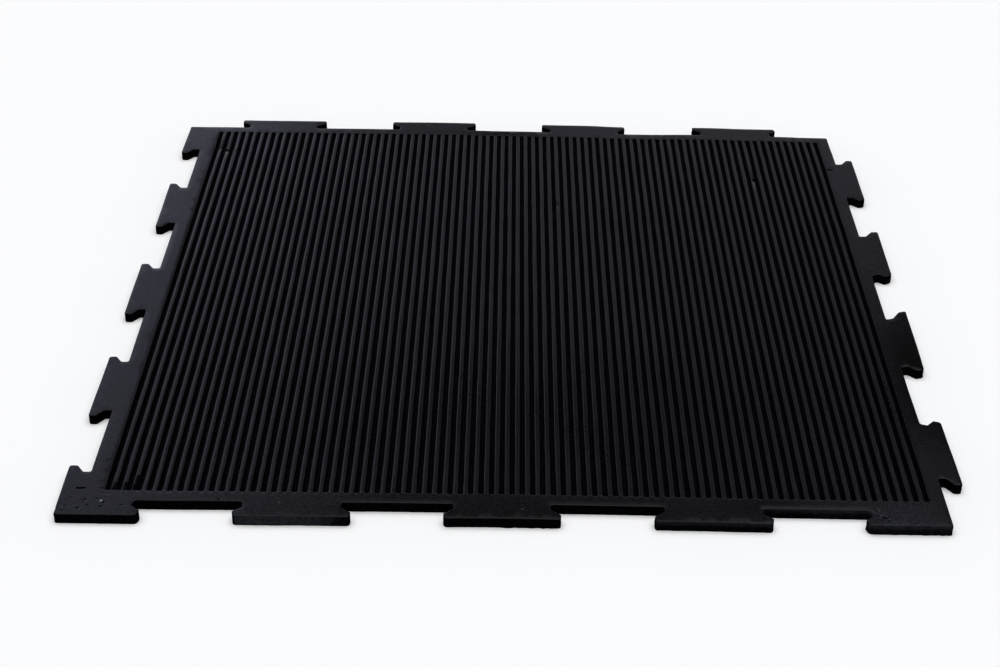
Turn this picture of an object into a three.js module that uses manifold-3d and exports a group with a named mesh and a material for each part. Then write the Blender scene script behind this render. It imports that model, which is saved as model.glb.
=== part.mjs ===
// Interlocking gym floor tile: one moulded piece of black rubber that lies flat, ribs up.
// Two neighbouring sides carry dovetail tabs, and the other two have the sockets that take them.
// Millimetres, +Z up. The near side faces -Y. The origin is under the middle of the whole tile.
import * as THREE from 'three';
import { mergeVertices } from 'three/addons/utils/BufferGeometryUtils.js';
import Module from 'manifold-3d';

// Driving dimensions of the tile
const MODULE_LENGTH = 1000; // laid tiles repeat at this distance, both ways
const THICKNESS = 12.5;
const TOP_CHAMFER = 0.6;
const TILE_CORNER_RADIUS = 3;

// Dovetail tabs, and the running room that the sockets leave round them
const TABS_PER_SIDE = 4;
const FIRST_TAB_OFFSET = 147.5; // from the tile's corner to the first tab's middle
const TAB_LENGTH = 26;
const TAB_NECK_WIDTH = 104;
const TAB_UNDERCUT = 12; // how far the head stands out past the neck, on each side
const FLANK_ANGLE = THREE.MathUtils.degToRad(55); // between the slanted flank and the tab's own direction
const NECK_RADIUS = 4;
const SHOULDER_RADIUS = 3.5;
const TAB_CORNER_RADIUS = 5;
const SIDE_CLEARANCE = 2;
const END_CLEARANCE = 1;

// Ribbed field: straight grooves with ribs between them, flush with a plain border
const RIB_COUNT = 79;
const GROOVE_DEPTH = 5.5;
const GROOVE_FLOOR_WIDTH = 4.2;
const GROOVE_DRAFT = 0.25; // how far each wall leans outward from floor to shoulder
const RIB_SHOULDER_RADIUS = 1.75;
const LEFT_BORDER = 21;
const RIGHT_BORDER = 16.4;
const NEAR_BORDER = 19;
const FAR_BORDER = 17;

// Cuts run past the faces that they open by this much
const CUT_MARGIN = 1;
const ARC_DIVISIONS = 2;

const TAB_PITCH = (MODULE_LENGTH - 2 * FIRST_TAB_OFFSET) / (TABS_PER_SIDE - 1);
const SOCKET_DEPTH = TAB_LENGTH + END_CLEARANCE;
const SOCKET_WIDTH = TAB_NECK_WIDTH + 2 * TAB_UNDERCUT + 2 * SIDE_CLEARANCE; // at its widest, inside
const OVERALL_LENGTH = MODULE_LENGTH + TAB_LENGTH;

const wasm = await Module();
wasm.setup();

function toSolid(geometry) {
  const positions = geometry.clone().deleteAttribute('normal').deleteAttribute('uv');
  const merged = mergeVertices(positions, 1e-4);
  const mesh = new wasm.Mesh({
    numProp: 3,
    vertProperties: new Float32Array(merged.attributes.position.array),
    triVerts: new Uint32Array(merged.index.array),
  });
  return new wasm.Manifold(mesh);
}

function toGeometry(solid) {
  const mesh = solid.getMesh();
  const geometry = new THREE.BufferGeometry();
  geometry.setAttribute('position', new THREE.BufferAttribute(mesh.vertProperties, 3));
  geometry.setIndex(new THREE.BufferAttribute(mesh.triVerts, 1));
  const facetted = geometry.toNonIndexed();
  facetted.computeVertexNormals();
  return facetted;
}

// One dovetail flank from the base line out to the end face: x is measured out from the neck's side,
// and y from the base line. The slanted stretch is centred on the middle of the length, so that a
// tab's flank and the flank of the tooth beside it match.
function flankPoints(length) {
  const bend = 1 - Math.cos(FLANK_ANGLE);
  const slantWidth = TAB_UNDERCUT - (NECK_RADIUS + SHOULDER_RADIUS) * bend;
  const slantRun = slantWidth / Math.tan(FLANK_ANGLE);
  const neckEnd = (length - slantRun) / 2 - NECK_RADIUS * Math.sin(FLANK_ANGLE);
  const headStart = (length + slantRun) / 2 + SHOULDER_RADIUS * Math.sin(FLANK_ANGLE);
  const cornerX = TAB_UNDERCUT - TAB_CORNER_RADIUS;
  const flank = new THREE.Path();
  flank.absarc(NECK_RADIUS, NECK_RADIUS, NECK_RADIUS, 1.5 * Math.PI, Math.PI, true);
  flank.absarc(NECK_RADIUS, neckEnd, NECK_RADIUS, Math.PI, Math.PI - FLANK_ANGLE, true);
  flank.absarc(TAB_UNDERCUT - SHOULDER_RADIUS, headStart, SHOULDER_RADIUS, -FLANK_ANGLE, 0, false);
  flank.absarc(cornerX, length - TAB_CORNER_RADIUS, TAB_CORNER_RADIUS, 0, Math.PI / 2, false);
  return flank.getPoints(ARC_DIVISIONS);
}

// The near side's outline from left to right, before it is turned to its own side of the tile.
// Tabs reach out past the module's edge at y = 0. Sockets go into the tile from there.
function sideOutline(hasTabs) {
  const radius = TILE_CORNER_RADIUS;
  const corner = new THREE.Path().absarc(radius, radius, radius, Math.PI, 1.5 * Math.PI, false);
  const outline = corner.getPoints(ARC_DIVISIONS);
  const length = hasTabs ? TAB_LENGTH : SOCKET_DEPTH;
  const baseLine = hasTabs ? 0 : SOCKET_DEPTH;
  const halfWidth = (hasTabs ? TAB_NECK_WIDTH : SOCKET_WIDTH) / 2;
  const outward = hasTabs ? 1 : -1; // a socket's flanks lean towards its middle
  const leftFlank = flankPoints(length);
  const rightFlank = flankPoints(length).reverse();
  if (!hasTabs) {
    leftFlank.reverse();
    rightFlank.reverse();
  }
  for (let i = 0; i < TABS_PER_SIDE; i += 1) {
    const middle = FIRST_TAB_OFFSET + i * TAB_PITCH;
    for (const point of leftFlank) {
      outline.push(new THREE.Vector2(middle - halfWidth - outward * point.x, baseLine - point.y));
    }
    for (const point of rightFlank) {
      outline.push(new THREE.Vector2(middle + halfWidth + outward * point.x, baseLine - point.y));
    }
  }
  return outline;
}

// The whole outline in plan, with the module's near left corner at (0, 0)
function tileOutline() {
  const near = { turns: 0, hasTabs: false };
  const right = { turns: 1, hasTabs: true };
  const far = { turns: 2, hasTabs: true };
  const left = { turns: 3, hasTabs: false };
  const middle = new THREE.Vector2(MODULE_LENGTH / 2, MODULE_LENGTH / 2);
  const outline = [];
  for (const side of [near, right, far, left]) {
    for (const point of sideOutline(side.hasTabs)) {
      outline.push(point.rotateAround(middle, side.turns * Math.PI / 2));
    }
  }
  return new THREE.Shape(outline);
}

// The plain slab. Its lower chamfer lies below z = 0 and is cut away, so only the top edge has one.
function slabSolid() {
  const slab = new THREE.ExtrudeGeometry(tileOutline(), {
    depth: THICKNESS - TOP_CHAMFER,
    bevelThickness: TOP_CHAMFER,
    bevelSize: TOP_CHAMFER,
    bevelOffset: -TOP_CHAMFER,
    bevelSegments: 1,
  });
  const trimSize = OVERALL_LENGTH + SOCKET_DEPTH + 2 * CUT_MARGIN;
  const trimHeight = TOP_CHAMFER + CUT_MARGIN;
  const trim = new THREE.BoxGeometry(2 * trimSize, 2 * trimSize, trimHeight);
  trim.translate(0, 0, -trimHeight / 2);
  return toSolid(slab).subtract(toSolid(trim));
}

// A groove's section, with y = 0 at the ribs' tops: a flat floor, leaning walls and the hollow
// flares that leave each rib a rounded shoulder
function grooveSection() {
  const wall = GROOVE_FLOOR_WIDTH / 2 + GROOVE_DRAFT;
  const mouth = wall + RIB_SHOULDER_RADIUS;
  const section = new THREE.Shape();
  section.moveTo(-GROOVE_FLOOR_WIDTH / 2, -GROOVE_DEPTH);
  section.lineTo(GROOVE_FLOOR_WIDTH / 2, -GROOVE_DEPTH);
  section.absarc(mouth, -RIB_SHOULDER_RADIUS, RIB_SHOULDER_RADIUS, Math.PI, Math.PI / 2, true);
  section.lineTo(mouth, CUT_MARGIN);
  section.lineTo(-mouth, CUT_MARGIN);
  section.absarc(-mouth, -RIB_SHOULDER_RADIUS, RIB_SHOULDER_RADIUS, Math.PI / 2, 0, true);
  return section;
}

function cutGrooves(slab) {
  const halfMouth = GROOVE_FLOOR_WIDTH / 2 + GROOVE_DRAFT + RIB_SHOULDER_RADIUS;
  const firstGroove = SOCKET_DEPTH + LEFT_BORDER + halfMouth;
  const lastGroove = MODULE_LENGTH - RIGHT_BORDER - halfMouth;
  const nearEnd = SOCKET_DEPTH + NEAR_BORDER;
  const farEnd = MODULE_LENGTH - FAR_BORDER;
  const groove = new THREE.ExtrudeGeometry(grooveSection(), {
    depth: farEnd - nearEnd,
    bevelEnabled: false,
    curveSegments: ARC_DIVISIONS,
  });
  groove.rotateX(Math.PI / 2);
  groove.translate(firstGroove, farEnd, THICKNESS);
  const cutter = toSolid(groove);
  const pitch = (lastGroove - firstGroove) / RIB_COUNT;
  let ribbed = slab;
  for (let i = 0; i <= RIB_COUNT; i += 1) {
    ribbed = ribbed.subtract(cutter.translate([i * pitch, 0, 0]));
  }
  return ribbed;
}

const blackRubber = new THREE.MeshStandardMaterial({
  color: 0x1c1d20,
  roughness: 0.6,
  metalness: 0,
});

const tile = new THREE.Mesh(toGeometry(cutGrooves(slabSolid())), blackRubber);
tile.name = 'ribbed_rubber_tile';
tile.position.set(-OVERALL_LENGTH / 2, -OVERALL_LENGTH / 2, 0);

const part = new THREE.Group();
part.add(tile);

export default part;
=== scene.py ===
import math

import bpy
import numpy as np
from mathutils import Matrix, Vector
from mathutils.geometry import delaunay_2d_cdt


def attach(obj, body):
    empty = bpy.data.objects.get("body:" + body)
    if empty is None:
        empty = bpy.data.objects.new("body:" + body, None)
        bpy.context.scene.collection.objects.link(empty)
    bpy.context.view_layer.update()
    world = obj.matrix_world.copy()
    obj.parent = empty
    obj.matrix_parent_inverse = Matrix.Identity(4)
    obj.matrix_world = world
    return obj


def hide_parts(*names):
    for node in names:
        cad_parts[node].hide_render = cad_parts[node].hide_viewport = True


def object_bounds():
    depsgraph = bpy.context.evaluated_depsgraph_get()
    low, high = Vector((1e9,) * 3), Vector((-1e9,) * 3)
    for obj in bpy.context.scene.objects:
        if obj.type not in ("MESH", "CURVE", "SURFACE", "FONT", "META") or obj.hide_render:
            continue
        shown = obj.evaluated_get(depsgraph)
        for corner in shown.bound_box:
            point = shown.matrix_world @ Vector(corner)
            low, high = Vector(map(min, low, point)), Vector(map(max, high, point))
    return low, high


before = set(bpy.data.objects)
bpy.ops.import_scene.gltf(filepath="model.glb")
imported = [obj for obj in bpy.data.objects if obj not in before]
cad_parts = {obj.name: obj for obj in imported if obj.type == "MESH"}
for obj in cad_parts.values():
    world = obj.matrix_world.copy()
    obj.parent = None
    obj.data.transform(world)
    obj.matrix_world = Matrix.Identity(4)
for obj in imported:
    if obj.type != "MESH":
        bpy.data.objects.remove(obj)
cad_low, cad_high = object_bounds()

NODE = "ribbed_rubber_tile"
MM = 0.001

# The tile's sizes, as in the solid model
MODULE_LENGTH = 1000.0
TABS_PER_SIDE = 4
FIRST_TAB_OFFSET = 147.5
TAB_LENGTH = 26.0
TAB_NECK_WIDTH = 104.0
TAB_UNDERCUT = 12.0
FLANK_ANGLE = math.radians(55)
SIDE_CLEARANCE = 2.0
END_CLEARANCE = 1.0
TILE_CORNER_RADIUS = 3.0
RIB_COUNT = 79
GROOVE_DEPTH = 5.5
GROOVE_FLOOR_WIDTH = 4.2
GROOVE_DRAFT = 0.25
RIB_SHOULDER_RADIUS = 1.75
LEFT_BORDER = 21.0
RIGHT_BORDER = 16.4
NEAR_BORDER = 19.0
FAR_BORDER = 17.0

TAB_PITCH = (MODULE_LENGTH - 2 * FIRST_TAB_OFFSET) / (TABS_PER_SIDE - 1)
SOCKET_DEPTH = TAB_LENGTH + END_CLEARANCE
SOCKET_WIDTH = TAB_NECK_WIDTH + 2 * TAB_UNDERCUT + 2 * SIDE_CLEARANCE
OVERALL_LENGTH = MODULE_LENGTH + TAB_LENGTH
THICKNESS = (cad_high.z - cad_low.z) / MM
HALF_MOUTH = GROOVE_FLOOR_WIDTH / 2 + GROOVE_DRAFT + RIB_SHOULDER_RADIUS
FIRST_GROOVE = SOCKET_DEPTH + LEFT_BORDER + HALF_MOUTH
LAST_GROOVE = MODULE_LENGTH - RIGHT_BORDER - HALF_MOUTH
RIB_PITCH = (LAST_GROOVE - FIRST_GROOVE) / RIB_COUNT
NEAR_ENDS = SOCKET_DEPTH + NEAR_BORDER
FAR_ENDS = MODULE_LENGTH - FAR_BORDER

# How finely the surface is made: steps of bends, the cut faces' rows, and the field's rows
ARC_STEPS = 6
ROUNDING_STEPS = 3
EDGE_STEP = 4.0
EDGE_HEIGHTS = (9.8, 7.7, 5.6, 3.5, 1.4)
MIDDLE_STATIONS = 22
END_FINE_STEPS = (2.0, 4.5, 7.5, 11.0, 15.0, 20.0)
CRUSH_FINE_STEPS = (21, 24, 27, 30, 33)
NICK_FINE_STEPS = (-5, 0, 5)
SHARP_ANGLE = math.radians(38)
SAME_PLACE = 1e-6
MERGE_DISTANCE = 1e-5
POINTS_AT_ONCE = 1500

# The loose points between the outlines: their spacing, how far they stray from an even lattice as a
# share of it, and how near they come to the tile's edge, the ribbed field and the finer boxes
BORDER_STEP = 8.0
BORDER_JITTER = 0.2
BORDER_EDGE_GAP = 3.5
BORDER_FIELD_GAP = 3
FINE_BOX_GAP = 2
FINE_STEP = 1.1
FINE_JITTER = 0.15
FINE_EDGE_GAP = 2.6
FINE_FIELD_GAP = 1
UNDERSIDE_STEP = 40.0
UNDERSIDE_JITTER = 0.1

# The bends and soft edges that moulding, cutting and wear leave
NECK_RADIUS = 3.0
SHOULDER_RADIUS = 2.5
TAB_CORNER_RADIUS = 3.5
TOP_EDGE_RADIUS = 0.8
WORN_EDGE_RADIUS = 2.0
END_SHOULDER_RADIUS = 1.4
WALL_DRAFT = 0.25
FLOOR_FILLET = 0.5
RIB_CROWN = 0.25

# How many of the rounded edge's bands, from the top, look like the top and not like the cut faces, whose
# darker rubber is painted shade
TOP_BANDS = 2

# Faces that lie deeper than this take the grooves' darker rubber, which is painted shade
PAINTED_SHADE_DEPTH = 0.65

# How far the grooves' walls and the ribs' crowns wander, the lengths of the waves that they follow,
# and the least and the most of its even share that one wave adds
WALL_WANDER = 0.5
WALL_WAVES = (37, 83, 190)
CROWN_WANDER = 0.3
CROWN_WAVES = (60, 140, 420)
WAVE_SHARES = (0.4, 1.0)

# How rough the cut faces are, with more on the right, and how far their foot is set in
CUT_ROUGHNESS = 0.15
RIGHT_CUT_ROUGHNESS = 0.3
RIGHT_CUTS_FROM = 650
CUT_SPREAD = (-1, 0.6)
FOOT_INSET = 0.15

# This tile is a little off its pattern. How far each dovetail flank strays along its side, as
# (at the base line, at the outer end), for each socket or tab by rising x or y, lower flank first
NEAR_STRAYS = (
    ((4.6, -1.5), (-7, -2.5)), ((2, 0.5), (-4.8, -2.5)),
    ((2, 1), (-2.5, -2)), ((6, 2.5), (-7, 1.8)),
)
RIGHT_STRAYS = (
    ((-5.2, -5.5), (2, -6)), ((-3.5, 4.5), (9.5, 20.5)),
    ((-6.8, 9.2), (2.5, 5.8)), ((-9, -1.6), (0.5, 2.5)),
)
FAR_STRAYS = (
    ((-1.8, -1.8), (-0.5, 1.5)), ((-0.5, -0.5), (1.2, 2.5)),
    ((1, 0), (3.5, 2)), ((2.5, 2.5), (7.5, 3.8)),
)
LEFT_STRAYS = (
    ((-2, -2), (-9.5, -9.5)), ((-4, -4.5), (-8.5, -8.5)),
    ((-1.5, -1.5), (-3, -2.5)), ((4, 5.5), (0.5, 1)),
)

# How much further out each right tab reaches, at its lower and its upper flank
RIGHT_REACH = ((0, 0), (2.6, 3.6), (1.7, 2.4), (0, 0))

# How the rubber lies bowed in plan: shifts across each side at every tenth of its length, blended
# over a length. The near and far bows fade slowly along the ribs and the others soon across them, so
# the ribs stay straight.
NEAR_BOW = (-3.2, -3.0, -1.9, -0.8, 0.0, 1.4, 0.8, 0.4, -0.4, -0.8, -0.5)
FAR_BOW = (0, 1.0, 1.8, 2.6, 3.8, 1.7, 0.6, -3.0, -0.8, -3.2, -5.8)
LEFT_BOW = (0.2, -0.3, 0.8, 1.4, 0.8, 0.3, 0.2, 0.7, 0.1, 0.6, 1.5)
RIGHT_BOW = (1.0, 1.0, 0.3, -0.2, 0.6, 0.7, 0.9, 1.2, 1.0, 1.2, 0.3)
BOW_BLEND = 0.045 * MODULE_LENGTH
ALONG_RIBS = 400.0
ACROSS_RIBS = 60.0

# Wear on the plain border: pits as (x, y, radius, depth), slots as (from x, to x, y, half width,
# depth), and pale specks as (x, y, radius, share). An edge fades over a part of the half width or
# of the radius, from the first share of it to the second
PITS = (
    (30, 27, 1.6, 1.1), (31, 23, 1.3, 0.8), (35, 18, 1.5, 1.0), (25, 12, 1.4, 1.1),
    (22, 13, 1.1, 0.8), (8.5, 8, 1.3, 1.3), (12, 17, 1.2, 0.8), (10, 26, 1.1, 0.7),
    (43, 30, 1.5, 1.0), (47, 30.5, 1.3, 0.9), (51.5, 23, 1.3, 1.4), (50.5, 16, 1.5, 1.1),
    (51, 31, 1.2, 0.8), (73, 19, 1.5, 1.2), (20, 20, 1.0, 0.7),
    (40, 13, 1.1, 0.6), (14, 30, 1.2, 0.6), (5.5, 19, 1.0, 0.7), (180, 31.5, 1.5, 1.3),
    (372, 1019, 1.4, 1.2), (376, 1016, 1.2, 0.9), (404, 1017, 1.4, 1.2), (411, 1013, 1.1, 0.8),
    (919, 19, 2.8, 2.4), (927, 15, 2.0, 1.8), (914, 23, 2.0, 1.6), (922, 25, 1.4, 1.2),
    (931, 11, 1.5, 1.0),
)
PIT_DEEPENING = 1.4
SLOTS = ((17, 26, 48.5, 1.2, 2.8), (43.5, 47, 49, 0.8, 1.6), (983.5, 992, 886, 1.5, 3.0))
SLOT_SOFT_END = 0.8
SLOT_EDGE = (0.6, 1.4)
SPECKS = (
    (48.8, 25.5, 1.7, 0.9), (31.5, 24.8, 1.0, 0.5), (248.5, 26, 1.3, 0.25), (522, 18.5, 1.5, 0.2),
    (8, 11, 0.9, 0.2), (27, 9.5, 0.9, 0.2), (924, 20, 1.0, 0.3), (916, 14, 0.9, 0.2),
)
SPECK_EDGE = (0.5, 1.1)
SPECK_DEPTH = 2

# The worn parts of the border, which have finer points, as (low x, low y, high x, high y)
FINE_BOXES = (
    (3, 3, 80, 43), (3, 44, 46, 56), (176, 28, 184, 37), (245, 23, 252, 29), (516, 14, 526, 37),
    (366, 1008, 415, 1021), (912, 8, 934, 28), (982, 882, 994, 890),
)

# A low crease that curls round the first groove's near end
CREASE_MIDDLE = (52, 45)
CREASE_STRETCH = 1.4
CREASE_RADIUS = 6.5
CREASE_WIDTH = 1.1
CREASE_DEPTH = 0.5
CREASE_FADE = (38, 42)

# Where the top edge is worn wider, as (from x, to x, soft length, up to y, share)
WORN_EDGES = ((0, 85, 8, 12, 1.0), (780, 804, 6, 8, 0.6))

# Torn flash at the bottom edge: how far it stands out at most, and places where that is more, as
# (low x, low y, high x, high y, most)
FLASH_REACH = 0.3
FLASH_PLACES = (
    (500, -1, 570, 2, 1.4), (930, -1, 1030, 2, 1.0), (998, -1, 1030, 60, 1.0), (794, -1, 806, 6, 1.2),
)

# Nicks in the ribs' tops, as (x, y, radius, depth)
RIB_NICKS = ((70, 920, 4.5, 3.0), (59, 926, 3, 2.0), (870, 845, 3, 2.2), (573, 754, 3, 1.4))

# Ribs crushed at their near ends, as (rib, depth, length). They lean: the right side is deeper than
# the left by the lean. A rib's top takes the grooves' darker rubber, painted shade, where its wear is
# deeper than the last value
CRUSHED_RIBS = ((1, 1.3, 17), (1, 2.6, 4), (2, 1.3, 15), (3, 1.3, 30), (3, 3.4, 12))
CRUSH_LIMIT = 4.0
CRUSH_LEAN = 0.8
CRUSH_FADE = 3
DARK_WEAR = 1.8

# Frayed rib tops by the far left corner: from, to and soft length, the depth, and how fast their
# roughness turns, in radians a millimetre, across the ribs, along them and on the slant
FRAYED_X = (50, 82, 8)
FRAYED_Y = (914, 938, 9)
FRAYED_DEPTH = 1.4
FRAY_ACROSS = 0.9
FRAY_ALONG = 0.31
FRAY_SLANT = 0.2

# Painted light on the near faces, which are paler where they catch light and gloss: a tooth's, the right
# end's, and the right half's, which is paler near the top. Then where those faces are: near the side's
# edge, in the fourth socket, and below the top edge
TOOTH_PAINTED_LIGHT = 0.115
TOOTH_PAINTED_LIGHT_X = (203, 285, 45)
TOOTH_PAINTED_LIGHT_START = 201
END_PAINTED_LIGHT = 0.02
END_PAINTED_LIGHT_X = (830, 880)
HALF_PAINTED_LIGHT = 0.004
HALF_PAINTED_LIGHT_X = (600, 700)
HIGH_PAINTED_LIGHT = 0.07
HIGH_PAINTED_LIGHT_Z = (5, 11)
NEAR_FACES_TO = 6
SOCKET_FACES_X = (780, 925)
SOCKET_FACES_TO = 30
FACES_BELOW_TOP = 0.5

# How pale or dark the top is painted: a usual share, which gives the rubber its own colour, and patches
# of painted light and painted shade, paler or darker than that, as (x, y, reach in x, reach in y, how
# much more), and how much painted shade darkens the ribs where they are worn and sunk, from the first
# depth of wear to the second
USUAL_SHARE = 0.4
PAINTED_LIGHT_PATCHES = (
    (560, 8, 360, 50, -0.22), (560, 200, 330, 150, -0.2), (1018, 300, 50, 200, -0.38),
    (35, 925, 50, 90, 0.15), (430, 1014, 240, 18, 0.25), (852, 1012, 70, 20, -0.2),
    (147, 1012, 70, 20, -0.2), (20, 590, 60, 120, -0.2), (800, 30, 50, 20, -0.2),
    (490, 992, 60, 12, -0.35), (950, 10, 30, 25, 0.3),
)
WORN_PAINTED_SHADE = 0.5
WORN_SHADE_DEPTHS = (0.3, 1.0)

# How much smoother the rubber is where the share is nil, under the deepest painted shade
LOW_SHARE_GLOSS = 0.17

# Grit a few millimetres across speckles the rubber: the noise that splits it, its two shades as
# shares of the colour, and how much it roughens or smooths
GRIT_SCALE = 330
GRIT_BAND = (0.42, 0.58)
GRIT_SHADES = (0.1, 1.9)
GRIT_GLOSS = 0.03

# Broader changes of gloss: mottling and smudges, and the noise values between which they change
MOTTLE_SCALE = 70
MOTTLE_GLOSS = 0.03
SMUDGE_SCALE = 9
SMUDGE_GLOSS = 0.04
GLOSS_BAND = (0.3, 0.7)

# A few pale spots, one in some of the cells: the cells, a spot's reach in its cell, which of the
# cells' random values have one, and its strength
SPOT_CELLS = 150.0
SPOT_REACH = (0.04, 0.09)
SPOT_DRAW = (0.93, 0.96)
SPOT_STRENGTH = 0.8
SPOT_COLOUR = (0.05, 0.05, 0.055, 1)

# Pale specks, and the painted light on the near faces: their colour, and the fine noise that breaks them
# up
PALE_AND_PAINTED_LIGHT_COLOUR = (0.28, 0.30, 0.35, 1)
PALE_SCALE = 320
PALE_BAND = (0.35, 0.65)
PALE_SHARES = (0.75, 1.25)

# The bump's two grains and how much stronger the coarse one is
COARSE_GRAIN = 240
COARSE_WEIGHT = 1.5
FINE_GRAIN = 850

# The dome's brightness from the horizon up, by the sine of the elevation
SKY_COLOUR = (0.99, 0.995, 1.0)
LOW_SKY = 0.9
LOW_SKY_TOP = 0.17
DIM_SKY = 0.055
DIM_SKY_FROM = 0.3
DIM_SKY_TO = 0.6
HIGH_SKY = 1.76
HIGH_SKY_FROM = 0.93

# The soft cards' colours
LEFT_CARD_COLOUR = (0.92, 0.945, 1.18)
RIGHT_CARD_COLOUR = (0.94, 0.955, 1.14)

# The floor's half width, and how far it lies under the tile, in metres
FLOOR_HALF = 12.0
FLOOR_DROP = 0.0002

# The last kind of face takes a darker rubber: painted shade in the grooves, in sunk pits and slots, and
# on deeply worn ribs
TOP, FLANK_PAINTED_SHADE, UNDERSIDE, GROOVE_PAINTED_SHADE = range(4)

rng = np.random.default_rng(79)


def to_frame(points):
    """Plan millimetres to metres in the model's frame."""
    moved = np.array(points, float)
    moved[:, :2] -= OVERALL_LENGTH / 2
    return moved * MM


def rise(value, low, high):
    """0 below low, 1 above high and a smooth step between them."""
    t = np.clip((value - low) / (high - low), 0, 1)
    return t * t * (3 - 2 * t)


def between(value, low, high, soft):
    """1 from low to high, fading to 0 over the soft length outside."""
    return rise(value, low - soft, low) * (1 - rise(value, high, high + soft))


def wander(along, lines, waves, size):
    """Smooth random lines, one in each row, with a value for each place along them."""
    total = np.zeros((lines, len(along)))
    for wave in waves:
        phase = rng.uniform(0, 2 * math.pi, (lines, 1))
        swing = np.sin(2 * math.pi * along[None, :] / wave + phase)
        total += swing * rng.uniform(*WAVE_SHARES, (lines, 1))
    return total * size / len(waves)


def arc(centre, radius, start, end):
    """Points on an arc, both ends among them."""
    angles = np.linspace(start, end, ARC_STEPS + 1)
    return np.stack([centre[0] + radius * np.cos(angles), centre[1] + radius * np.sin(angles)], 1)


def flank(length):
    """A dovetail's flank to its end face: x out from the neck's side, y out from the base line."""
    bend = 1 - math.cos(FLANK_ANGLE)
    slant_run = (TAB_UNDERCUT - (NECK_RADIUS + SHOULDER_RADIUS) * bend) / math.tan(FLANK_ANGLE)
    neck_end = (length - slant_run) / 2 - NECK_RADIUS * math.sin(FLANK_ANGLE)
    head_start = (length + slant_run) / 2 + SHOULDER_RADIUS * math.sin(FLANK_ANGLE)
    corner = (TAB_UNDERCUT - TAB_CORNER_RADIUS, length - TAB_CORNER_RADIUS)
    return np.concatenate([
        arc((NECK_RADIUS, NECK_RADIUS), NECK_RADIUS, 1.5 * math.pi, math.pi),
        arc((NECK_RADIUS, neck_end), NECK_RADIUS, math.pi, math.pi - FLANK_ANGLE),
        arc((TAB_UNDERCUT - SHOULDER_RADIUS, head_start), SHOULDER_RADIUS, -FLANK_ANGLE, 0),
        arc(corner, TAB_CORNER_RADIUS, 0, math.pi / 2),
    ])


def side_outline(has_tabs, strays, reach=((0, 0),) * TABS_PER_SIDE):
    """A side with tabs or with sockets, drawn as the near side from left to right."""
    r = TILE_CORNER_RADIUS
    parts = [arc((r, r), r, math.pi, 1.5 * math.pi)]
    length = TAB_LENGTH if has_tabs else SOCKET_DEPTH
    base = 0 if has_tabs else SOCKET_DEPTH
    half_width = (TAB_NECK_WIDTH if has_tabs else SOCKET_WIDTH) / 2
    outward = 1 if has_tabs else -1
    points = flank(length) if has_tabs else flank(length)[::-1]
    lean = half_width + outward * points[:, 0]
    out = points[:, 1] / length
    for i, (lower, upper) in enumerate(strays):
        middle = FIRST_TAB_OFFSET + i * TAB_PITCH
        lower_x = middle - lean + lower[0] + (lower[1] - lower[0]) * out
        upper_x = middle + lean + upper[0] + (upper[1] - upper[0]) * out
        parts.append(np.stack([lower_x, base - points[:, 1] - reach[i][0] * out], 1))
        parts.append(np.stack([upper_x, base - points[:, 1] - reach[i][1] * out], 1)[::-1])
    return np.concatenate(parts)


def turned_about(strays):
    """The same strays for a side that the outline follows from its high end to its low end."""
    return [[[-s for s in upper], [-s for s in lower]] for lower, upper in reversed(strays)]


def subdivide(polygon, step):
    """The closed polygon with its long sides cut into equal pieces."""
    made = []
    for a, b in zip(polygon, np.roll(polygon, -1, axis=0)):
        gap = np.linalg.norm(b - a)
        if gap < SAME_PLACE:
            continue
        pieces = max(1, math.ceil(gap / step))
        for k in range(pieces):
            made.append(a + (b - a) * k / pieces)
    return np.array(made)


def tile_outline():
    """The tile in plan, anticlockwise from the near side, with every flank's straying."""
    middle = MODULE_LENGTH / 2
    sides = (
        side_outline(False, NEAR_STRAYS),
        side_outline(True, RIGHT_STRAYS, RIGHT_REACH),
        side_outline(True, turned_about(FAR_STRAYS)),
        side_outline(False, turned_about(LEFT_STRAYS)),
    )
    made = []
    for turns, side in enumerate(sides):
        c, s = math.cos(turns * math.pi / 2), math.sin(turns * math.pi / 2)
        made.append((side - middle) @ np.array([[c, s], [-s, c]]) + middle)
    return subdivide(np.concatenate(made), EDGE_STEP)


def outward_normals(polygon):
    """At each corner of an anticlockwise polygon, the step that moves both its sides out by 1."""
    ahead = np.roll(polygon, -1, axis=0) - polygon
    ahead /= np.linalg.norm(ahead, axis=1)[:, None]
    side = np.stack([ahead[:, 1], -ahead[:, 0]], 1)
    both = side + np.roll(side, 1, axis=0)
    return 2 * both / (both ** 2).sum(1)[:, None]


def inside(points, polygon):
    """Which points lie in the polygon, by how often a line to the right of each crosses it."""
    x1, y1 = polygon.T
    x2, y2 = np.roll(polygon, -1, axis=0).T
    height = np.where(y2 == y1, 1.0, y2 - y1)
    found = []
    for part in np.array_split(points, max(1, len(points) // POINTS_AT_ONCE)):
        x, y = part[:, :1], part[:, 1:2]
        crosses = (y1 > y) != (y2 > y)
        at = x1 + (y - y1) * (x2 - x1) / height
        found.append((crosses & (x < at)).sum(1) % 2 == 1)
    return np.concatenate(found)


def bow(shifts, along):
    """The shift at each place along a side, smoothed between the tenths."""
    knots = np.linspace(0, MODULE_LENGTH, len(shifts))
    weight = np.exp(-((along[:, None] - knots) / BOW_BLEND) ** 2)
    return (weight * np.array(shifts)).sum(1) / weight.sum(1)


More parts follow.
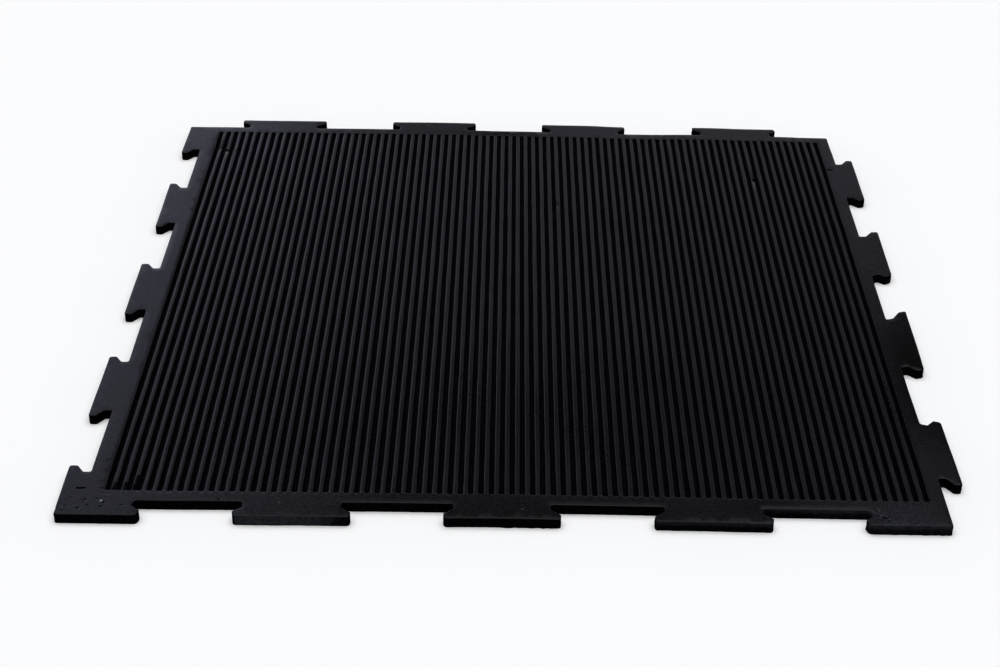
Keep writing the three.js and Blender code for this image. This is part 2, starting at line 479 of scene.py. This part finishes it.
def settle(points):
    """The points moved as the rubber lies, bowed most at its sides."""
    x, y = np.clip(points[:, :2], 0, MODULE_LENGTH).T

    def fade(distance, reach):
        return np.clip(1 - distance / reach, 0, 1) ** 2

    moved = points.copy()
    moved[:, 0] += bow(LEFT_BOW, y) * fade(x, ACROSS_RIBS)
    moved[:, 0] += bow(RIGHT_BOW, y) * fade(MODULE_LENGTH - x, ACROSS_RIBS)
    moved[:, 1] += bow(NEAR_BOW, x) * fade(y, ALONG_RIBS)
    moved[:, 1] += bow(FAR_BOW, x) * fade(MODULE_LENGTH - y, ALONG_RIBS)
    return moved


def dents(x, y, marks):
    """The depth that round marks sink each place by."""
    sunk = np.zeros(np.shape(x))
    for mark_x, mark_y, radius, depth in marks:
        away = np.hypot(x - mark_x, y - mark_y) / radius
        sunk = np.maximum(sunk, depth * np.exp(-away ** 2))
    return sunk


def border_wear(x, y):
    """How far wear has sunk the plain border."""
    sunk = PIT_DEEPENING * dents(x, y, PITS)
    for low_x, high_x, middle_y, half, depth in SLOTS:
        across = 1 - rise(np.abs(y - middle_y), half * SLOT_EDGE[0], half * SLOT_EDGE[1])
        sunk = np.maximum(sunk, depth * across * between(x, low_x, high_x, SLOT_SOFT_END))
    crease_x, crease_y = CREASE_MIDDLE
    away = np.hypot((x - crease_x) / CREASE_STRETCH, y - crease_y) - CREASE_RADIUS
    return sunk + CREASE_DEPTH * np.exp(-(away / CREASE_WIDTH) ** 2) * (1 - rise(y, *CREASE_FADE))


def crushed_ends(x, y):
    """How far the first ribs' tops are crushed at their near ends."""
    crushed = np.zeros(x.shape)
    for rib, depth, length in CRUSHED_RIBS:
        middle = FIRST_GROOVE + (rib - 0.5) * RIB_PITCH
        here = (np.abs(x - middle) < RIB_PITCH / 2) & (y >= NEAR_ENDS)
        lopsided = 1 + CRUSH_LEAN * np.clip((x - middle) / RIB_SHOULDER_RADIUS, -1, 1)
        fade = 1 - rise(y - NEAR_ENDS, length - CRUSH_FADE, length + CRUSH_FADE)
        crushed = np.maximum(crushed, np.minimum(depth * here * lopsided * fade, CRUSH_LIMIT))
    return crushed


def rib_wear(x, y):
    """How far the ribs' tops have sunk where they are crushed, frayed or nicked."""
    rough = 0.5 + 0.5 * np.sin(x * FRAY_ACROSS) * np.sin(y * FRAY_ALONG + x * FRAY_SLANT)
    frayed = FRAYED_DEPTH * rough * between(y, *FRAYED_Y) * between(x, *FRAYED_X)
    return np.maximum(np.maximum(crushed_ends(x, y), frayed), dents(x, y, RIB_NICKS))


def pale_share(points):
    """How pale each point is: dried specks on top, and painted light on the near faces."""
    x, y, z = points.T
    shown = np.zeros(len(points))
    for speck_x, speck_y, radius, share in SPECKS:
        away = np.hypot(x - speck_x, y - speck_y) / radius
        on_top = z > THICKNESS - SPECK_DEPTH
        shown = np.maximum(shown, share * (1 - rise(away, *SPECK_EDGE)) * on_top)
    # Painted light: the near faces paler where they catch light and gloss
    face_painted_light = TOOTH_PAINTED_LIGHT * between(x, *TOOTH_PAINTED_LIGHT_X) * (x > TOOTH_PAINTED_LIGHT_START)
    face_painted_light += END_PAINTED_LIGHT * rise(x, *END_PAINTED_LIGHT_X)
    face_painted_light += rise(x, *HALF_PAINTED_LIGHT_X) * (HALF_PAINTED_LIGHT + HIGH_PAINTED_LIGHT * rise(z, *HIGH_PAINTED_LIGHT_Z))
    low_x, high_x = SOCKET_FACES_X
    face = (y < NEAR_FACES_TO) | ((y < SOCKET_FACES_TO) & (x > low_x) & (x < high_x))
    return np.maximum(shown, face_painted_light * face * (z < THICKNESS - FACES_BELOW_TOP))


def painted_light_and_shade_share(points):
    """How pale each point is painted: the usual share, with patches of painted light and painted shade,
    and painted shade on worn, sunk ribs.
    """
    x, y = points[:, 0], points[:, 1]
    share = np.full(len(points), USUAL_SHARE)
    for patch_x, patch_y, reach_x, reach_y, more in PAINTED_LIGHT_PATCHES:
        share += more * np.exp(-((x - patch_x) / reach_x) ** 2 - ((y - patch_y) / reach_y) ** 2)
    return np.clip(share, 0, 1) * (1 - WORN_PAINTED_SHADE * rise(rib_wear(x, y), *WORN_SHADE_DEPTHS))


def groove_columns():
    """One groove's section from mouth to mouth: places across it and depths."""
    turn = np.linspace(0, math.pi / 2, ROUNDING_STEPS + 1)
    wall = GROOVE_FLOOR_WIDTH / 2 + GROOVE_DRAFT
    across = list(wall + RIB_SHOULDER_RADIUS * (1 - np.sin(turn)))
    depth = list(RIB_SHOULDER_RADIUS * (1 - np.cos(turn)))
    across += [GROOVE_FLOOR_WIDTH / 2, GROOVE_FLOOR_WIDTH / 2 - FLOOR_FILLET]
    depth += [GROOVE_DEPTH - FLOOR_FILLET, GROOVE_DEPTH]
    depth = [RIB_CROWN + d * (1 - RIB_CROWN / GROOVE_DEPTH) for d in depth]
    left = -np.array(across)
    places = np.concatenate([left, [0], -left[::-1]])
    return places, np.concatenate([depth, [GROOVE_DEPTH], depth[::-1]])


def field_columns():
    """Each column across the field: its place, its depth and the two walls whose wander it shares."""
    across, depth = groove_columns()
    half = len(across) // 2
    places, depths, first_wall, second_wall = [], [], [], []
    for i in range(RIB_COUNT + 1):
        middle = FIRST_GROOVE + i * RIB_PITCH
        places += list(middle + across)
        depths += list(depth)
        first_wall += [2 * i] * (half + 1) + [2 * i + 1] * half
        second_wall += [2 * i] * half + [2 * i + 1] * (half + 1)
        if i < RIB_COUNT:
            places.append(middle + RIB_PITCH / 2)
            depths.append(0.0)
            first_wall.append(2 * i + 1)
            second_wall.append(2 * i + 2)
    depths[0] = depths[-1] = 0.0
    return np.array(places), np.array(depths), np.array(first_wall), np.array(second_wall)


def end_stations():
    """From a groove's end inwards: distance from the shoulder's rim, and share of the full depth."""
    turn = np.linspace(0, math.pi / 2, ROUNDING_STEPS + 1)
    away = list(END_SHOULDER_RADIUS * np.sin(turn))
    share = list(END_SHOULDER_RADIUS * (1 - np.cos(turn)) / GROOVE_DEPTH)
    away += [END_SHOULDER_RADIUS + WALL_DRAFT, END_SHOULDER_RADIUS + WALL_DRAFT + FLOOR_FILLET]
    share += [1 - FLOOR_FILLET / GROOVE_DEPTH, 1.0]
    dense = away[-1] + np.array(END_FINE_STEPS)
    return np.concatenate([away, dense]), np.concatenate([share, np.ones(len(dense))])


def field_stations():
    """Along the ribbed field: each row's place, and its share of the full depth."""
    away, share = end_stations()
    near = NEAR_ENDS - END_SHOULDER_RADIUS
    far = FAR_ENDS + END_SHOULDER_RADIUS
    middle = np.linspace(near + away[-1], far - away[-1], MIDDLE_STATIONS + 2)[1:-1]
    nicked = [y + step for _, y, _, _ in RIB_NICKS for step in NICK_FINE_STEPS]
    crushed = [NEAR_ENDS + step for step in CRUSH_FINE_STEPS]
    middle = np.unique(np.concatenate([middle, nicked, crushed]))
    places = np.concatenate([near + away, middle, (far - away)[::-1]])
    return places, np.concatenate([share, np.ones(len(middle)), share[::-1]])


def field_grid():
    """The ribbed field as rows of points, stations by columns, and how deep each one is for the painted
    shade of the grooves' darker rubber.
    """
    across, depth, first_wall, second_wall = field_columns()
    along, share = field_stations()
    wall_count = 2 * (RIB_COUNT + 1)
    walls = wander(along, wall_count, WALL_WAVES, WALL_WANDER)
    crowns = wander(along, wall_count, CROWN_WAVES, CROWN_WANDER)
    shift = (walls[first_wall] + walls[second_wall]).T / 2
    sink = np.abs((crowns[first_wall] + crowns[second_wall]).T / 2)
    x = across[None, :] + shift * share[:, None]
    y = np.repeat(along[:, None], len(across), 1)
    worn = rib_wear(x, y)
    sink = (sink + worn) * (1 - depth[None, :] / GROOVE_DEPTH)
    z = THICKNESS - share[:, None] * (depth[None, :] + sink)
    darkness = share[:, None] * (depth[None, :] + np.where(worn > DARK_WEAR, worn, 0))
    return np.stack([x, y, z], 2), darkness


class TileMesh:
    """Points, faces and what each face is, gathered piece by piece."""

    def __init__(self):
        self.points = np.zeros((0, 3))
        self.faces = []
        self.kinds = []

    def add_points(self, points):
        start = len(self.points)
        self.points = np.concatenate([self.points, points])
        return np.arange(start, start + len(points))

    def add_faces(self, faces, kinds):
        self.faces += faces.tolist()
        self.kinds += kinds.tolist()

    def add_band(self, upper, lower, kind):
        """A strip of faces between two closed rings of points."""
        band = np.stack([upper, lower, np.roll(lower, -1), np.roll(upper, -1)], 1)
        self.add_faces(band, np.full(len(band), kind))

    def fill(self, loops, extra):
        """Upward triangles on closed loops of points, the first outside, with extra points between."""
        names = np.concatenate([*loops, self.add_points(extra)])
        edges, start = [], 0
        for loop in loops:
            edges += [(start + k, start + (k + 1) % len(loop)) for k in range(len(loop))]
            start += len(loop)
        flat = [Vector(place) for place in self.points[names, :2]]
        made = delaunay_2d_cdt(flat, edges, [], 0, MERGE_DISTANCE)
        triangles = np.array(made[2])
        middles = np.array([place[:] for place in made[0]])[triangles].mean(1)
        keep = inside(middles, self.points[loops[0], :2])
        for hole in loops[1:]:
            keep &= ~inside(middles, self.points[hole, :2])
        source = np.array([origin[0] for origin in made[3]])
        return names[source[triangles[keep]]]


def scattered(low_x, low_y, high_x, high_y, step, jitter):
    """A jittered lattice of places in a rectangle."""
    across = np.arange(low_x + step / 2, high_x, step)
    along = np.arange(low_y + step / 2, high_y, step)
    places = np.stack(np.meshgrid(across, along), 2).reshape(-1, 2)
    return places + rng.uniform(-jitter, jitter, places.shape) * step


def border_points(outline, normals, field_low, field_high):
    """Points for the plain border: coarse, and fine where it is worn."""
    def off(points, low, high, gap):
        return ~((points > np.array(low) - gap) & (points < np.array(high) + gap)).all(1)

    coarse = scattered(0, 0, OVERALL_LENGTH, OVERALL_LENGTH, BORDER_STEP, BORDER_JITTER)
    coarse = coarse[off(coarse, field_low, field_high, BORDER_FIELD_GAP)]
    for box in FINE_BOXES:
        coarse = coarse[off(coarse, box[:2], box[2:], FINE_BOX_GAP)]
    fine = np.concatenate([scattered(*box, FINE_STEP, FINE_JITTER) for box in FINE_BOXES])
    fine = fine[off(fine, field_low, field_high, FINE_FIELD_GAP)]
    coarse = coarse[inside(coarse, outline - normals * BORDER_EDGE_GAP)]
    fine = fine[inside(fine, outline - normals * FINE_EDGE_GAP)]
    flat = np.concatenate([coarse, fine])
    return np.column_stack([flat, THICKNESS - border_wear(flat[:, 0], flat[:, 1])])


def edge_radii(outline):
    """The top edge's rounding, wider where it is worn."""
    x, y = outline.T
    worn = np.zeros(len(outline))
    for low_x, high_x, soft, high_y, share in WORN_EDGES:
        worn += share * (y < high_y) * between(x, low_x, high_x, soft)
    return TOP_EDGE_RADIUS + (WORN_EDGE_RADIUS - TOP_EDGE_RADIUS) * np.clip(worn, 0, 1)


def flash(outline):
    """How far torn flash stands out at the bottom edge: a little all round, more in a few places."""
    x, y = outline.T
    most = np.full(len(outline), FLASH_REACH)
    for low_x, low_y, high_x, high_y, reach in FLASH_PLACES:
        most[(x > low_x) & (x < high_x) & (y > low_y) & (y < high_y)] = reach
    return rng.uniform(0, 1, len(outline)) ** 2 * most


def edge_rings(mesh, outline, normals):
    """The rounded top edge and the upright cut face, down to the bottom edge."""
    radii = edge_radii(outline)
    rings = []

    def add_ring(out, height):
        moved = outline + normals * np.broadcast_to(out, len(outline))[:, None]
        rings.append(mesh.add_points(np.column_stack([moved, np.broadcast_to(height, len(outline))])))

    for turn in np.linspace(0, math.pi / 2, ROUNDING_STEPS + 1):
        add_ring(-radii * (1 - math.sin(turn)), THICKNESS - radii * (1 - math.cos(turn)))
    rough = CUT_ROUGHNESS + RIGHT_CUT_ROUGHNESS * (outline[:, 0] > RIGHT_CUTS_FROM)
    for height in EDGE_HEIGHTS:
        add_ring(rng.uniform(*CUT_SPREAD, len(outline)) * rough, height)
    add_ring(flash(outline) - FOOT_INSET, 0.0)
    for level, (upper, lower) in enumerate(zip(rings, rings[1:])):
        mesh.add_band(upper, lower, TOP if level < TOP_BANDS else FLANK_PAINTED_SHADE)
    return rings[0], rings[-1]


def tile_mesh():
    """The whole tile: the ribbed field, the edges, the plain border and the underside."""
    mesh = TileMesh()
    outline = tile_outline()
    normals = outward_normals(outline)

    grid, darkness = field_grid()
    stations, columns = grid.shape[:2]
    index = mesh.add_points(grid.reshape(-1, 3)).reshape(stations, columns)
    quads = np.stack([index[:-1, :-1], index[:-1, 1:], index[1:, 1:], index[1:, :-1]], 2)
    # Deep faces, and faces on deeply worn ribs, get painted shade: the grooves' darker rubber
    level = (darkness[:-1, :-1] + darkness[:-1, 1:] + darkness[1:, 1:] + darkness[1:, :-1]) / 4
    kinds = np.where(level > PAINTED_SHADE_DEPTH, GROOVE_PAINTED_SHADE, TOP)
    mesh.add_faces(quads.reshape(-1, 4), kinds.ravel())

    top_ring, bottom_ring = edge_rings(mesh, outline, normals)
    rim = np.concatenate([index[0], index[1:, -1], index[-1, -2::-1], index[-2:0:-1, 0]])
    loose = border_points(outline, normals, grid[0, 0, :2], grid[-1, -1, :2])
    border = mesh.fill([top_ring, rim], loose)
    # Sunk pits and slots in the border get the same painted shade
    sunk = THICKNESS - mesh.points[border, 2].mean(1)
    mesh.add_faces(border, np.where(sunk > PAINTED_SHADE_DEPTH, GROOVE_PAINTED_SHADE, TOP))

    under = scattered(0, 0, OVERALL_LENGTH, OVERALL_LENGTH, UNDERSIDE_STEP, UNDERSIDE_JITTER)
    under = under[inside(under, outline - normals * BORDER_EDGE_GAP)]
    under = mesh.fill([bottom_ring], np.column_stack([under, np.zeros(len(under))]))[:, ::-1]
    mesh.add_faces(under, np.full(len(under), UNDERSIDE))
    return mesh


def build_tile(materials):
    """The tile as one object, with its materials, its pale share and its share of painted light and
    shade.
    """
    made = tile_mesh()
    mesh = bpy.data.meshes.new("ribbed_tile")
    mesh.from_pydata(to_frame(settle(made.points)).tolist(), [], made.faces)
    for material in materials:
        mesh.materials.append(material)
    mesh.polygons.foreach_set("material_index", made.kinds)
    mesh.polygons.foreach_set("use_smooth", [True] * len(made.faces))
    for name, share in (("pale", pale_share(made.points)), ("painted_light_share", painted_light_and_shade_share(made.points))):
        mesh.attributes.new(name, "FLOAT", "POINT").data.foreach_set("value", share)
    mesh.set_sharp_from_angle(angle=SHARP_ANGLE)
    tile = bpy.data.objects.new("ribbed_tile", mesh)
    bpy.context.scene.collection.objects.link(tile)
    print("triangles", sum(len(face) - 2 for face in made.faces))
    return tile


def node(tree, kind, **values):
    """A shader node with its sockets and settings filled in by name."""
    made = tree.nodes.new(kind)
    for name, value in values.items():
        socket = made.inputs.get(name.replace("_", " "))
        if socket is None:
            setattr(made, name, value)
        elif isinstance(value, bpy.types.NodeSocket):
            tree.links.new(value, socket)
        else:
            socket.default_value = value
    return made


def noise(tree, place, scale, detail=2.0):
    """Noise with features of about 1 / scale metres."""
    return node(tree, "ShaderNodeTexNoise", Vector=place, Scale=scale, Detail=detail).outputs["Fac"]


def ramp(tree, value, low, high, start, end):
    """The value taken from low..high to start..end, and held there."""
    made = node(tree, "ShaderNodeMapRange", Value=value, From_Min=low, From_Max=high,
                To_Min=start, To_Max=end)
    return made.outputs[0]


def fill_sockets(tree, sockets, values):
    """Each socket is linked to its value, or set to it."""
    for socket, value in zip(sockets, values):
        if isinstance(value, bpy.types.NodeSocket):
            tree.links.new(value, socket)
        else:
            socket.default_value = value


def math_node(tree, operation, first, second):
    """The two values taken together."""
    made = node(tree, "ShaderNodeMath", operation=operation)
    fill_sockets(tree, made.inputs, (first, second))
    return made.outputs[0]


def blend(tree, share, first, second):
    """The first colour turned towards the second by the share."""
    made = node(tree, "ShaderNodeMix", data_type="RGBA")
    fill_sockets(tree, (made.inputs[0], made.inputs[6], made.inputs[7]), (share, first, second))
    return made.outputs[2]


def gritty(tree, speckle, colour, thinning=1.0):
    """The colour, speckled between its two shades, and strong enough to be thinned to that share."""
    dark, light = ((*[shade * c / thinning for c in colour], 1) for shade in GRIT_SHADES)
    return blend(tree, speckle, dark, light)


def gloss_changes(tree, place, speckle):
    """How much rougher than usual each place is, from mottling, smudges and grit."""
    mottle = noise(tree, place, MOTTLE_SCALE, detail=4.0)
    smudge = noise(tree, place, SMUDGE_SCALE, detail=3.0)
    rubbed = math_node(tree, "ADD", ramp(tree, mottle, *GLOSS_BAND, -MOTTLE_GLOSS, MOTTLE_GLOSS),
                       ramp(tree, smudge, *GLOSS_BAND, -SMUDGE_GLOSS, SMUDGE_GLOSS))
    return math_node(tree, "ADD", rubbed, ramp(tree, speckle, 0.0, 1.0, -GRIT_GLOSS, GRIT_GLOSS))


def painted_light_and_shade(tree, place, speckle, colour, rubbed):
    """The top's colour and roughness from its share of painted light and shade: a low share paints
    shade, black and smoother, with no rubbed marks. Pale spots are added.
    """
    painted_light_share = node(tree, "ShaderNodeAttribute", attribute_name="painted_light_share").outputs["Fac"]
    rubbed = math_node(tree, "MULTIPLY", rubbed, ramp(tree, painted_light_share, 0.0, USUAL_SHARE, 0.0, 1.0))
    rubbed = math_node(tree, "ADD", rubbed, ramp(tree, painted_light_share, 0.0, USUAL_SHARE, -LOW_SHARE_GLOSS, 0.0))
    shade = blend(tree, painted_light_share, (0, 0, 0, 1), gritty(tree, speckle, colour, USUAL_SHARE))
    cells = node(tree, "ShaderNodeTexVoronoi", Vector=place, Scale=SPOT_CELLS)
    spot = ramp(tree, cells.outputs["Distance"], *SPOT_REACH, 1.0, 0.0)
    draw = node(tree, "ShaderNodeSeparateColor", Color=cells.outputs["Color"]).outputs[0]
    spot = math_node(tree, "MULTIPLY", spot, ramp(tree, draw, *SPOT_DRAW, 0.0, SPOT_STRENGTH))
    return blend(tree, spot, shade, SPOT_COLOUR), rubbed


def rubber(name, colour, roughness, specular, grain, relief=0.0002, with_painted_light=False):
    """Black rubber: grit, pale specks and painted light on the near faces, a grainy bump and, if it has
    painted light, painted light and shade and pale spots.
    """
    material = bpy.data.materials.new(name)
    material.use_nodes = True
    tree = material.node_tree
    shader = tree.nodes["Principled BSDF"]
    shader.inputs["Specular IOR Level"].default_value = specular
    place = node(tree, "ShaderNodeTexCoord").outputs["Object"]
    speckle = ramp(tree, noise(tree, place, GRIT_SCALE), *GRIT_BAND, 0.0, 1.0)
    rubbed = gloss_changes(tree, place, speckle)
    if with_painted_light:
        shade, rubbed = painted_light_and_shade(tree, place, speckle, colour, rubbed)
    else:
        shade = gritty(tree, speckle, colour)
    tree.links.new(math_node(tree, "ADD", rubbed, roughness), shader.inputs["Roughness"])

    # The pale share: dried specks, and painted light on the near faces
    pale = node(tree, "ShaderNodeAttribute", attribute_name="pale").outputs["Fac"]
    broken = ramp(tree, noise(tree, place, PALE_SCALE), *PALE_BAND, *PALE_SHARES)
    pale = math_node(tree, "MULTIPLY", pale, broken)
    tree.links.new(blend(tree, pale, shade, PALE_AND_PAINTED_LIGHT_COLOUR), shader.inputs["Base Color"])

    coarse = math_node(tree, "MULTIPLY", noise(tree, place, COARSE_GRAIN), COARSE_WEIGHT)
    height = math_node(tree, "ADD", noise(tree, place, FINE_GRAIN, detail=3.0), coarse)
    bump = node(tree, "ShaderNodeBump", Height=height, Strength=grain, Distance=relief)
    tree.links.new(bump.outputs[0], shader.inputs["Normal"])
    return material


def add_camera():
    """The photograph's camera, from the fit of the tile's outline."""
    place = Vector((-0.0173, -2.1488, 1.2611))
    target = Vector((-0.0200, -0.0990, 0.0))
    roll = math.radians(-0.865)
    data = bpy.data.cameras.new("camera")
    data.lens = 66.345
    data.sensor_width = 36.0
    camera = bpy.data.objects.new("camera", data)
    turn = (target - place).to_track_quat("-Z", "Y").to_matrix().to_4x4()
    camera.matrix_world = Matrix.Translation(place) @ turn @ Matrix.Rotation(-roll, 4, "Z")
    bpy.context.scene.collection.objects.link(camera)
    bpy.context.scene.camera = camera


def add_floor():
    """A wide matt pale floor, just under the tile."""
    mesh = bpy.data.meshes.new("floor")
    half = FLOOR_HALF
    corners = [(-half, -half, 0), (half, -half, 0), (half, half, 0), (-half, half, 0)]
    mesh.from_pydata(corners, [], [(0, 1, 2, 3)])
    floor = bpy.data.objects.new("floor", mesh)
    bpy.context.scene.collection.objects.link(floor)
    floor.location.z = -FLOOR_DROP
    material = bpy.data.materials.new("pale_floor")
    material.use_nodes = True
    shader = material.node_tree.nodes["Principled BSDF"]
    shader.inputs["Base Color"].default_value = (0.86, 0.86, 0.865, 1)
    shader.inputs["Roughness"].default_value = 0.9
    shader.inputs["Specular IOR Level"].default_value = 0.0
    mesh.materials.append(material)


def add_card(name, azimuth, elevation, distance, size, power, colour):
    """A soft card that only shows in gloss, aimed at the tile. Azimuth 0 is straight behind it."""
    turn, lift = math.radians(azimuth), math.radians(elevation)
    level = math.cos(lift)
    place = Vector((math.sin(turn) * level, math.cos(turn) * level, math.sin(lift))) * distance
    data = bpy.data.lights.new(name, "AREA")
    data.shape = "RECTANGLE"
    data.size, data.size_y = size
    data.energy = power
    data.color = colour
    card = bpy.data.objects.new(name, data)
    aim = (-place).to_track_quat("-Z", "Y").to_matrix().to_4x4()
    card.matrix_world = Matrix.Translation(place) @ aim
    card.visible_diffuse = False
    card.visible_camera = False
    bpy.context.scene.collection.objects.link(card)


def add_sky():
    """A studio dome: bright overhead and low down, and dim between, where the tile's gloss looks."""
    world = bpy.data.worlds.new("studio")
    world.use_nodes = True
    tree = world.node_tree
    direction = node(tree, "ShaderNodeTexCoord").outputs["Generated"]
    height = node(tree, "ShaderNodeSeparateXYZ", Vector=direction).outputs["Z"]
    stops = [
        (-1.0, LOW_SKY), (LOW_SKY_TOP, LOW_SKY), (DIM_SKY_FROM, DIM_SKY), (DIM_SKY_TO, DIM_SKY),
        (HIGH_SKY_FROM, HIGH_SKY), (1.0, HIGH_SKY),
    ]
    curve = node(tree, "ShaderNodeValToRGB")
    while len(curve.color_ramp.elements) < len(stops):
        curve.color_ramp.elements.new(0.5)
    for element, (sine, strength) in zip(curve.color_ramp.elements, stops):
        element.position = (sine + 1) / 2
        element.color = (*[strength / HIGH_SKY * c for c in SKY_COLOUR], 1)
    tree.links.new(ramp(tree, height, -1.0, 1.0, 0.0, 1.0), curve.inputs[0])
    background = tree.nodes["Background"]
    tree.links.new(curve.outputs[0], background.inputs["Color"])
    background.inputs["Strength"].default_value = HIGH_SKY
    bpy.context.scene.world = world


add_camera()
add_floor()
add_sky()
add_card("back_left", -34, 33, 4.0, (1.6, 1.6), 6.2, LEFT_CARD_COLOUR)
add_card("low_left", -20, 18, 4.0, (1.2, 0.7), 3.6, LEFT_CARD_COLOUR)
add_card("high_right", 30, 48, 4.0, (1.0, 1.0), 2.4, RIGHT_CARD_COLOUR)
add_card("low_right", 11, 16, 4.0, (1.4, 0.6), 1.6, RIGHT_CARD_COLOUR)
top = rubber("rubber_top", (0.0060, 0.0062, 0.0106), roughness=0.38, specular=0.3, grain=0.4, with_painted_light=True)
# The cut faces' rubber is darker than the top's: painted shade on the upright faces. Its roughness and
# coarse grain are the cut rubber's own
flanks = rubber("rubber_flanks_painted_shade", (0.0035, 0.0035, 0.0060), roughness=0.9, specular=0.02, grain=0.9,
                relief=0.0006)
underside = rubber("rubber_underside", (0.010, 0.010, 0.012), roughness=0.7, specular=0.3, grain=0.3)
# The grooves' rubber is darker than the top's: painted shade in the grooves, pits and slots
grooves = rubber("rubber_grooves_painted_shade", (0.0030, 0.0030, 0.0070), roughness=0.8, specular=0.06, grain=0.5)
tile = build_tile([top, flanks, underside, grooves])
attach(tile, "root")
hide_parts(NODE)

scene = bpy.context.scene
scene.view_settings.view_transform = "Standard"
scene.view_settings.look = "High Contrast"
